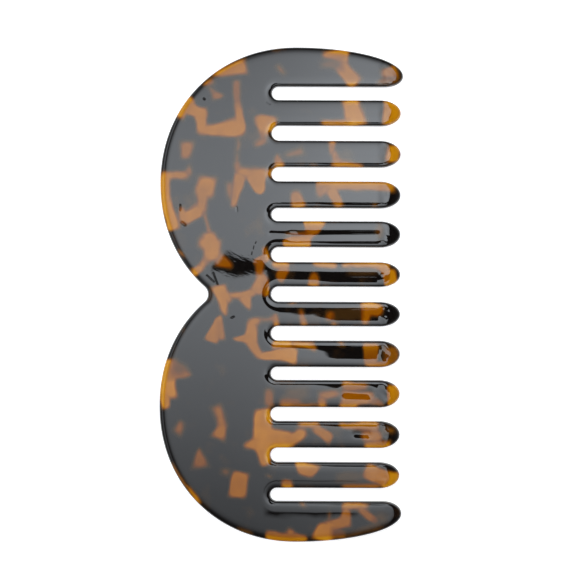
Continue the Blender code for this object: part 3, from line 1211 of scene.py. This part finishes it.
@dataclass(frozen=True)
class TortoiseshellFinish:
    """Polished tortoiseshell acetate: amber flakes in a near-black sheet, with painted backlight that makes
    the colour brighter where the sheet thins at its rim and tips.
    """

    thickness: float
    dark: Colour = (0.006, 0.0045, 0.004)
    smoke: Colour = (0.055, 0.024, 0.006)
    chestnut: Colour = (0.205, 0.046, 0.002)
    amber: Colour = (0.400, 0.113, 0.001)
    honey: Colour = (0.600, 0.198, 0.001)
    # Brighter copies of the colours above: painted backlight, standing in for light through the thinned rim
    # and tips
    painted_backlit_smoke: Colour = (0.090, 0.034, 0.005)
    painted_backlit_chestnut: Colour = (0.380, 0.115, 0.002)
    thin_amber: Colour = (0.670, 0.260, 0.004)
    painted_backlit_honey: Colour = (0.820, 0.360, 0.020)
    shades: Tuple[float, ...] = (0.0, 0.25, 0.6, 1.0, 1.4)
    # Where the painted backlight starts, as a share of half the thickness, and how fast it grows
    painted_backlight_level: float = 0.998
    painted_backlight_gain: float = 17.0
    index: float = 1.48
    lacquer: float = 0.2
    lacquer_tint: Colour = (1.0, 0.98, 0.05)
    lacquer_index: float = 1.02
    roughness: float = 0.015
    smear: float = 0.025
    smear_gain: float = 2.0
    smear_floor: float = 0.7
    smear_grain: Grain = Grain(240.0, 3.0)
    wave: float = 0.04 * MM
    wave_grain: Grain = Grain(70.0, 1.0)
    ripple: float = 0.0066 * MM
    ripple_turn: float = 0.4
    ripple_stretch: Tuple[float, float, float] = (0.35, 1.0, 1.0)
    ripple_grain: Grain = Grain(1150.0, 2.0)
    buffed_places: Tuple[Point, ...] = ((-14.0 * MM, 11.0 * MM), (23.0 * MM, -30.4 * MM))
    buffed_reach: float = 12.0 * MM
    tip_wave: float = 0.35 * MM
    tip_start: float = 28.5 * MM
    tip_fade: float = 4.0 * MM
    tip_grain: Grain = Grain(260.0, 1.0)
    calm_tips: Tuple[str, ...] = ("tooth_12",)
    calm_share: float = 0.2
    wobble: float = 2.6 * MM
    wobble_grain: Grain = Grain(95.0, 2.0)
    swell: float = 0.38 * MM
    corner: float = 2.4 * MM
    melt: float = 1.0
    clear: float = 9.0
    margin: float = 2.0
    blur_least: float = 0.3
    blur_spread: float = 1.6
    blur_grain: Grain = Grain(170.0, 1.0)
    cloud_least: float = 0.78
    cloud_spread: float = 0.44
    cloud_grain: Grain = Grain(130.0, 3.0)
    haze: float = 0.2
    haze_gain: float = 4.0
    haze_floor: float = 2.3

    @cached_property
    def flake_group(self) -> bpy.types.NodeTree:
        """The shader group that lays one flake over those before it.

        Returns:
            The group, made at its first use.
        """
        group, value = new_tree(
            "amber_flake",
            "ShaderNodeTree",
            ("INPUT", "Vector", ("Point", "Centre", "Along", "Across")),
            ("INPUT", "Float", ("Half Length", "Half Width", "Taper", "Softness", "Strength")),
            ("INPUT", "Float", ("Distance Under", "Strength Under")),
            ("OUTPUT", "Float", ("Distance", "Strength")),
        )
        offset = joined_vectors("SUBTRACT", value["Point"], value["Centre"])
        along = joined_vectors("DOT_PRODUCT", offset, value["Along"])
        across = joined_vectors("DOT_PRODUCT", offset, value["Across"])
        beyond_end = abs(along) - value["Half Length"]
        beyond_side = abs(across) - (value["Half Width"] + value["Taper"] * along)
        beyond = (joined("SMOOTH_MAX", beyond_end, beyond_side, self.corner) - self.swell) / value["Softness"]
        distance = joined("SMOOTH_MIN", beyond, value["Distance Under"], self.melt)
        strength = blended(value["Strength Under"], value["Strength"], share_of(0.5 - beyond / 2.0))
        add_node(group, "NodeGroupOutput", {"Distance": distance, "Strength": strength})
        return group

    @cached_property
    def polish_group(self) -> bpy.types.NodeTree:
        """The shader group of the polished surface.

        It has smears and slow waves everywhere, ripples round a buffed place, and finer waves at the tips.

        Returns:
            The group, made at its first use.
        """
        group, value = new_tree(
            "hand_polish",
            "ShaderNodeTree",
            ("INPUT", "Vector", ("Point", "Buffed Place")),
            ("INPUT", "Float", ("Wave", "Tip Wave")),
            ("OUTPUT", "Float", ("Roughness", "Height")),
        )
        point = value["Point"]
        smear = share_of(self.smear_grain.at(point) * self.smear_gain - self.smear_floor)
        turning = {"Vector": point, "Angle": self.ripple_turn}
        turned = add_node(group, "ShaderNodeVectorRotate", turning, rotation_type="Z_AXIS").outputs[0]
        stretched = joined_vectors("MULTIPLY", NodeValue(turned), self.ripple_stretch)
        away = joined_vectors("DISTANCE", point, value["Buffed Place"])
        buffed = eased(1.0 - away / self.buffed_reach)
        tip = eased((parts(point)[0] - self.tip_start) / self.tip_fade)
        height = value["Wave"] * self.wave_grain.at(point)
        height = height + self.ripple * self.ripple_grain.at(stretched) * buffed
        height = height + value["Tip Wave"] * self.tip_grain.at(point) * tip
        roughness = self.roughness + self.smear * smear
        add_node(group, "NodeGroupOutput", {"Roughness": roughness, "Height": height})
        return group

    @cached_property
    def nick_group(self) -> bpy.types.NodeTree:
        """The shader group that presses one nick into the polish.

        Returns:
            The group, made at its first use.
        """
        group, value = new_tree(
            "polish_nick",
            "ShaderNodeTree",
            ("INPUT", "Vector", ("Point", "Start", "Along")),
            ("INPUT", "Float", ("Length", "Width", "Depth", "Height Under")),
            ("OUTPUT", "Float", ("Height",)),
        )
        offset = joined_vectors("SUBTRACT", value["Point"], value["Start"])
        along = joined_vectors("DOT_PRODUCT", offset, value["Along"])
        square = joined_vectors("DOT_PRODUCT", offset, offset)
        past = along - least(most(along, 0.0), value["Length"])
        away = (square - along * along + past * past) / (value["Width"] * value["Width"])
        height = value["Height Under"] - value["Depth"] * joined("EXPONENT", 0.0 - away)
        add_node(group, "NodeGroupOutput", {"Height": height})
        return group

    def material(self, node: str, box: Box, waviness: float) -> bpy.types.Material:
        """Make the finish of one piece from the flakes and the nicks that reach it.

        Args:
            node: The CAD node that the piece stands for.
            box: The node's lowest and highest corner.
            waviness: How uneven its polish is, 1 on the back.

        Returns:
            The material.
        """
        material, shader = new_material("tortoiseshell_" + node)
        tree = material.node_tree
        point = NodeValue(add_node(tree, "ShaderNodeTexCoord").outputs["Object"])
        amber = self.flakes(point, box)
        low, high = box
        nearest = min(self.buffed_places, key=lambda spot: ((low + high).xy / 2 - Vector(spot)).length)
        setting = {
            "Point": point,
            "Buffed Place": (*nearest, self.thickness),
            "Wave": self.wave * waviness,
            "Tip Wave": self.tip_wave * (self.calm_share if node in self.calm_tips else 1),
        }
        polish = add_node(tree, "ShaderNodeGroup", setting, node_tree=self.polish_group)
        height = NodeValue(polish.outputs["Height"])
        for nick in NICKS:
            if nick.near(box):
                height = self.dent(nick, point, height)
        bump = add_node(tree, "ShaderNodeBump", {"Distance": 1.0, "Height": height})
        looks = {
            # The base colour carries painted backlight: brighter amber on the thinned rim and tips
            "Base Color": self.colour(amber, self.thinness(point)),
            "Roughness": NodeValue(polish.outputs["Roughness"]),
            "IOR": self.index,
            "Normal": NodeValue(bump.outputs["Normal"]),
            "Coat Weight": share_of(amber) * self.lacquer,
            "Coat IOR": self.lacquer_index,
            "Coat Tint": (*self.lacquer_tint, 1.0),
        }
        fill(shader, looks)
        return material

    def dent(self, nick: Nick, point: NodeValue, under: NodeValue) -> NodeValue:
        """Press one nick into the polished surface.

        Args:
            nick: The nick.
            point: The place on the piece.
            under: Height of the surface without it.

        Returns:
            Height of the surface with it.
        """
        start, end = nick.ends(self.thickness / MM)
        setting = {
            "Point": point,
            "Start": start,
            "Along": (end - start).normalized(),
            "Length": (end - start).length,
            "Width": nick.width * MM,
            "Depth": nick.depth * MM,
            "Height Under": under,
        }
        pressed = add_node(point.tree, "ShaderNodeGroup", setting, node_tree=self.nick_group)
        return NodeValue(pressed.outputs["Height"])

    def flakes(self, point: NodeValue, box: Box) -> NodeValue:
        """Lay the flakes that reach a piece, with uneven edges and a little cloud in them.

        Args:
            point: The place on the piece.
            box: The piece's lowest and highest corner.

        Returns:
            How amber the sheet is, 1 in a plain flake.
        """
        shaken = joined_vectors("SUBTRACT", self.wobble_grain.at(point, "Color"), (0.5, 0.5, 0.5))
        shift = joined_vectors("MULTIPLY", shaken, (self.wobble, self.wobble, 0.0))
        flattened = joined_vectors("MULTIPLY", joined_vectors("ADD", point, shift), IN_PLANE)
        cloud = self.cloud_grain.at(point)
        blur = self.blur_grain.at(point) * self.blur_spread + self.blur_least
        distance, strength = self.clear, 0.0
        for flake in FLAKES:
            if flake.near(box, self.margin):
                distance, strength = self.lay(flake, flattened, distance, strength)
        clouded = self.cloud_least + self.cloud_spread * cloud
        amber = eased(0.5 - distance / (blur * 2.0)) * strength * clouded
        return most(amber, share_of(cloud * self.haze_gain - self.haze_floor) * self.haze)

    def lay(self, flake: Flake, point: NodeValue, distance: Amount,
            strength: Amount) -> Tuple[NodeValue, NodeValue]:
        """Lay one flake over those before it.

        Args:
            flake: The flake.
            point: The place in the plane of the sheet.
            distance: Distance beyond the flakes below it, in their softness.
            strength: Their strength.

        Returns:
            The distance and the strength with this flake laid over them.
        """
        start, end = flake.ends(0.0)
        along = (end - start).normalized()
        length = (end - start).length
        setting = {
            "Point": point,
            "Centre": (start + end) / 2,
            "Along": along,
            "Across": Vector((-along.y, along.x, 0.0)),
            "Half Length": length / 2,
            "Half Width": (flake.start_width + flake.end_width) * MM / 4,
            "Taper": (flake.end_width - flake.start_width) * MM / (2 * length),
            "Softness": flake.softness * MM,
            "Strength": flake.strength,
            "Distance Under": distance,
            "Strength Under": strength,
        }
        laid = add_node(point.tree, "ShaderNodeGroup", setting, node_tree=self.flake_group)
        return NodeValue(laid.outputs["Distance"]), NodeValue(laid.outputs["Strength"])

    def thinness(self, point: NodeValue) -> NodeValue:
        """Share of painted backlight, standing in for the light the sheet passes: none on its faces, most on
        its rim and its thinned tips.

        Args:
            point: The place on the piece.

        Returns:
            The share of the light, from 0 to 1.
        """
        half = self.thickness / 2
        height = abs(parts(point)[2] - half) / half
        return eased((self.painted_backlight_level - height) * self.painted_backlight_gain)

    def colour(self, amber: NodeValue, painted_backlight_share: NodeValue) -> NodeValue:
        """Colour of the sheet by how amber it is, lifted towards brighter copies by painted backlight where
        it thins.

        Args:
            amber: How amber it is, 1 in a plain flake.
            painted_backlight_share: How much painted backlight, for the light the sheet passes, shows there.

        Returns:
            The colour.
        """
        full = self.shades[-1]
        places = [shade / full for shade in self.shades]
        flat_colours = (self.dark, self.smoke, self.chestnut, self.amber, self.honey)
        painted_backlit_colours = (self.dark, self.painted_backlit_smoke, self.painted_backlit_chestnut, self.thin_amber, self.painted_backlit_honey)
        setting = {
            "Factor": painted_backlight_share,
            "A": colour_ramp(amber / full, list(zip(places, flat_colours))),
            "B": colour_ramp(amber / full, list(zip(places, painted_backlit_colours))),
        }
        mixed = add_node(amber.tree, "ShaderNodeMix", setting, data_type="RGBA")
        return NodeValue(next(socket for socket in mixed.outputs if socket.type == "RGBA"))


@dataclass(frozen=True)
class Flag:
    """A dark card before the softbox, whose edges may slant, in millimetres."""

    west: float
    east: float
    south: float
    north: float
    south_from: float = 0.0
    south_slope: float = 0.0
    north_slope: float = 0.0
    lowest: float = -500.0
    highest: float = 500.0
    west_slope: float = 0.0
    soft: float = 1.0

    def cover(self, x: NodeValue, y: NodeValue) -> NodeValue:
        """How much of the light the card holds back at a place of the softbox.

        Args:
            x: The place along X.
            y: The place along Y.

        Returns:
            1 behind the card and 0 beside it.
        """
        south = most(self.south + most(x - self.south_from, 0.0) * self.south_slope, self.lowest)
        north = least(self.north + (x - self.west) * self.north_slope, self.highest)
        west = self.west + (y - self.south) * self.west_slope
        cover = share_of((x - west) / self.soft) * share_of((self.east - x) / self.soft)
        return cover * share_of((y - south) / self.soft) * share_of((north - y) / self.soft)


@dataclass(frozen=True)
class Softbox:
    """A flat light over the comb, brightest at one place, with dark cards before it, in millimetres."""

    name: str
    west: float
    east: float
    south: float
    north: float
    radiance: float
    flags: Tuple[Flag, ...] = ()
    height: float = 300.0
    glow_x: float = 48.0
    glow_y: float = 49.0
    spread_x: float = 46.0
    spread_y: float = 148.0
    level_share: float = 0.67
    ragged: float = 6.0
    ragged_grain: Grain = Grain(90.0, 2.0)
    colour: Colour = (0.94, 1.0, 1.07)

    def build(self) -> None:
        """Put the light in the scene."""
        lamp = bpy.data.lights.new(self.name, "AREA")
        lamp.shape = "RECTANGLE"
        lamp.size = (self.east - self.west) * MM
        lamp.size_y = (self.north - self.south) * MM
        lamp.energy = math.pi * lamp.size * lamp.size_y
        lamp.color = self.colour
        self.shade(lamp)
        light = bpy.data.objects.new(self.name, lamp)
        light.location = Vector((self.east + self.west, self.north + self.south, 2 * self.height)) * MM / 2
        light.visible_camera = False
        bpy.context.scene.collection.objects.link(light)

    def shade(self, lamp: bpy.types.Light) -> None:
        """Let the light fade away from its brightest place and hide what the cards cover.

        Args:
            lamp: The light.
        """
        lamp.use_nodes = True
        tree = lamp.node_tree
        emission = next(node for node in tree.nodes if node.type == "EMISSION")
        position = NodeValue(add_node(tree, "ShaderNodeNewGeometry").outputs["Position"])
        x, y = (part / MM for part in parts(position)[:2])
        away_x = (x - self.glow_x) / self.spread_x
        away_y = (y - self.glow_y) / self.spread_y
        glow = joined("EXPONENT", 0.0 - away_x * away_x) * (1.0 - self.level_share) + self.level_share
        level = joined("EXPONENT", 0.0 - away_y * away_y) * glow * self.radiance
        place = joined_vectors("MULTIPLY", position, IN_PLANE)
        aside = joined_vectors("ADD", place, (1.0, 0.0, 0.0))
        shifted_x = x + (self.ragged_grain.at(place) - 0.5) * self.ragged
        shifted_y = y + (self.ragged_grain.at(aside) - 0.5) * self.ragged
        for flag in self.flags:
            level = level * (1.0 - flag.cover(shifted_x, shifted_y))
        fill(emission, {"Strength": level})


@dataclass
class Studio:
    """Floor, light and camera of the picture."""

    plan: CombPlan
    floor_side: float = 8.0
    floor_drop: float = 0.02 * MM
    floor_tone: float = 0.8
    floor_roughness: float = 0.9
    floor_glow: float = 0.75
    room_levels: Tuple[Point, ...] = ((0.0, 0.9), (0.12, 0.6), (0.45, 0.25), (0.8, 0.03), (1.0, 0.012))
    camera_place: Tuple[float, float, float] = (2.1 * MM, 2.0 * MM, 0.45)
    camera_roll: float = 0.004
    pixel: float = 0.3036 * MM
    pixels: int = 576
    sensor: float = 36.0
    clip_start: float = 0.01
    lights: Tuple[Softbox, ...] = (
        Softbox("softbox", -160, 115, -260, 270, 5.8, (
            Flag(-500, -66, -500, 500, soft=84.0),
            Flag(-37, 200, 8, 12.5, south_from=-8, south_slope=-3, north_slope=0.16, lowest=-9, highest=20),
            Flag(26, 200, -36, 0, west_slope=-0.4, soft=2.0),
            Flag(-35.5, -8, 9, 20.8, south_from=-35, south_slope=-0.3, north_slope=-0.24, lowest=5.5,
                 west_slope=0.6, soft=1.6),
            Flag(-10, 38, -114, -106.5, soft=3.4),
        )),
        Softbox("glint", 34, 47, 8.2, 9.6, 4.0, height=299.0),
        Softbox("left_reflector", -215, -163, -200, 260, 2.05, height=299.0, glow_y=150, spread_y=320,
                level_share=1.0),
    )

    def build(self) -> None:
        """Make everything that isn't the comb."""
        bpy.context.scene.view_settings.view_transform = "Standard"
        self.floor()
        self.world()
        for light in self.lights:
            light.build()
        self.camera()

    def floor(self) -> None:
        """A plain pale floor that reads white and keeps the comb's shadow."""
        mesh = bpy.data.meshes.new("pale_floor")
        half = self.floor_side / 2
        corners = [(-half, -half), (half, -half), (half, half), (-half, half)]
        mesh.from_pydata([(x, y, -self.floor_drop) for x, y in corners], [], [(0, 1, 2, 3)])
        floor = bpy.data.objects.new("pale_floor", mesh)
        bpy.context.scene.collection.objects.link(floor)
        material, shader = new_material("pale_floor")
        path = add_node(material.node_tree, "ShaderNodeLightPath")
        camera, glossy, through = (
            NodeValue(path.outputs[f"Is {kind} Ray"]) for kind in ("Camera", "Glossy", "Transmission")
        )
        looks = {
            "Base Color": (self.floor_tone, self.floor_tone, self.floor_tone, 1.0),
            "Roughness": self.floor_roughness,
            "Specular IOR Level": 0.0,
            "Emission Color": (1.0, 1.0, 1.0, 1.0),
            "Emission Strength": most(most(camera, glossy), through) * self.floor_glow,
        }
        fill(shader, looks)
        mesh.materials.append(material)

    def world(self) -> None:
        """A dim room, lighter towards the horizon."""
        world = bpy.data.worlds.new("dim_room")
        bpy.context.scene.world = world
        world.use_nodes = True
        tree = world.node_tree
        direction = NodeValue(add_node(tree, "ShaderNodeTexCoord").outputs["Generated"])
        stops = [(place, (level, level, level)) for place, level in self.room_levels]
        fill(tree.nodes["Background"], {"Color": colour_ramp(parts(direction)[2], stops)})

    def camera(self) -> None:
        """A camera straight above the comb, close enough to see a little of the slots' walls."""
        lens = bpy.data.cameras.new("camera")
        distance = self.camera_place[2] - self.plan.mid_z
        lens.sensor_width = self.sensor
        lens.lens = self.sensor * distance / (self.pixel * self.pixels)
        lens.clip_start = self.clip_start
        camera = bpy.data.objects.new("camera", lens)
        camera.location = self.camera_place
        camera.rotation_euler = (0.0, 0.0, self.camera_roll)
        bpy.context.scene.collection.objects.link(camera)
        bpy.context.scene.camera = camera


def main() -> None:
    """Build the comb's pieces, then the studio, and log each piece's face count."""
    logging.basicConfig(level=logging.INFO, format="%(name)s: %(message)s")
    plan = CombPlan.from_frame()
    profile = RimProfile()
    finish = TortoiseshellFinish(plan.thickness)
    pieces = Back(plan, profile).build(finish) + Teeth(plan, profile).build(finish)
    Studio(plan).build()
    for piece in pieces:
        LOG.info("%s: %d faces", piece.name, len(piece.data.polygons))
    bpy.context.view_layer.update()


if __name__ == "__main__":
    main()
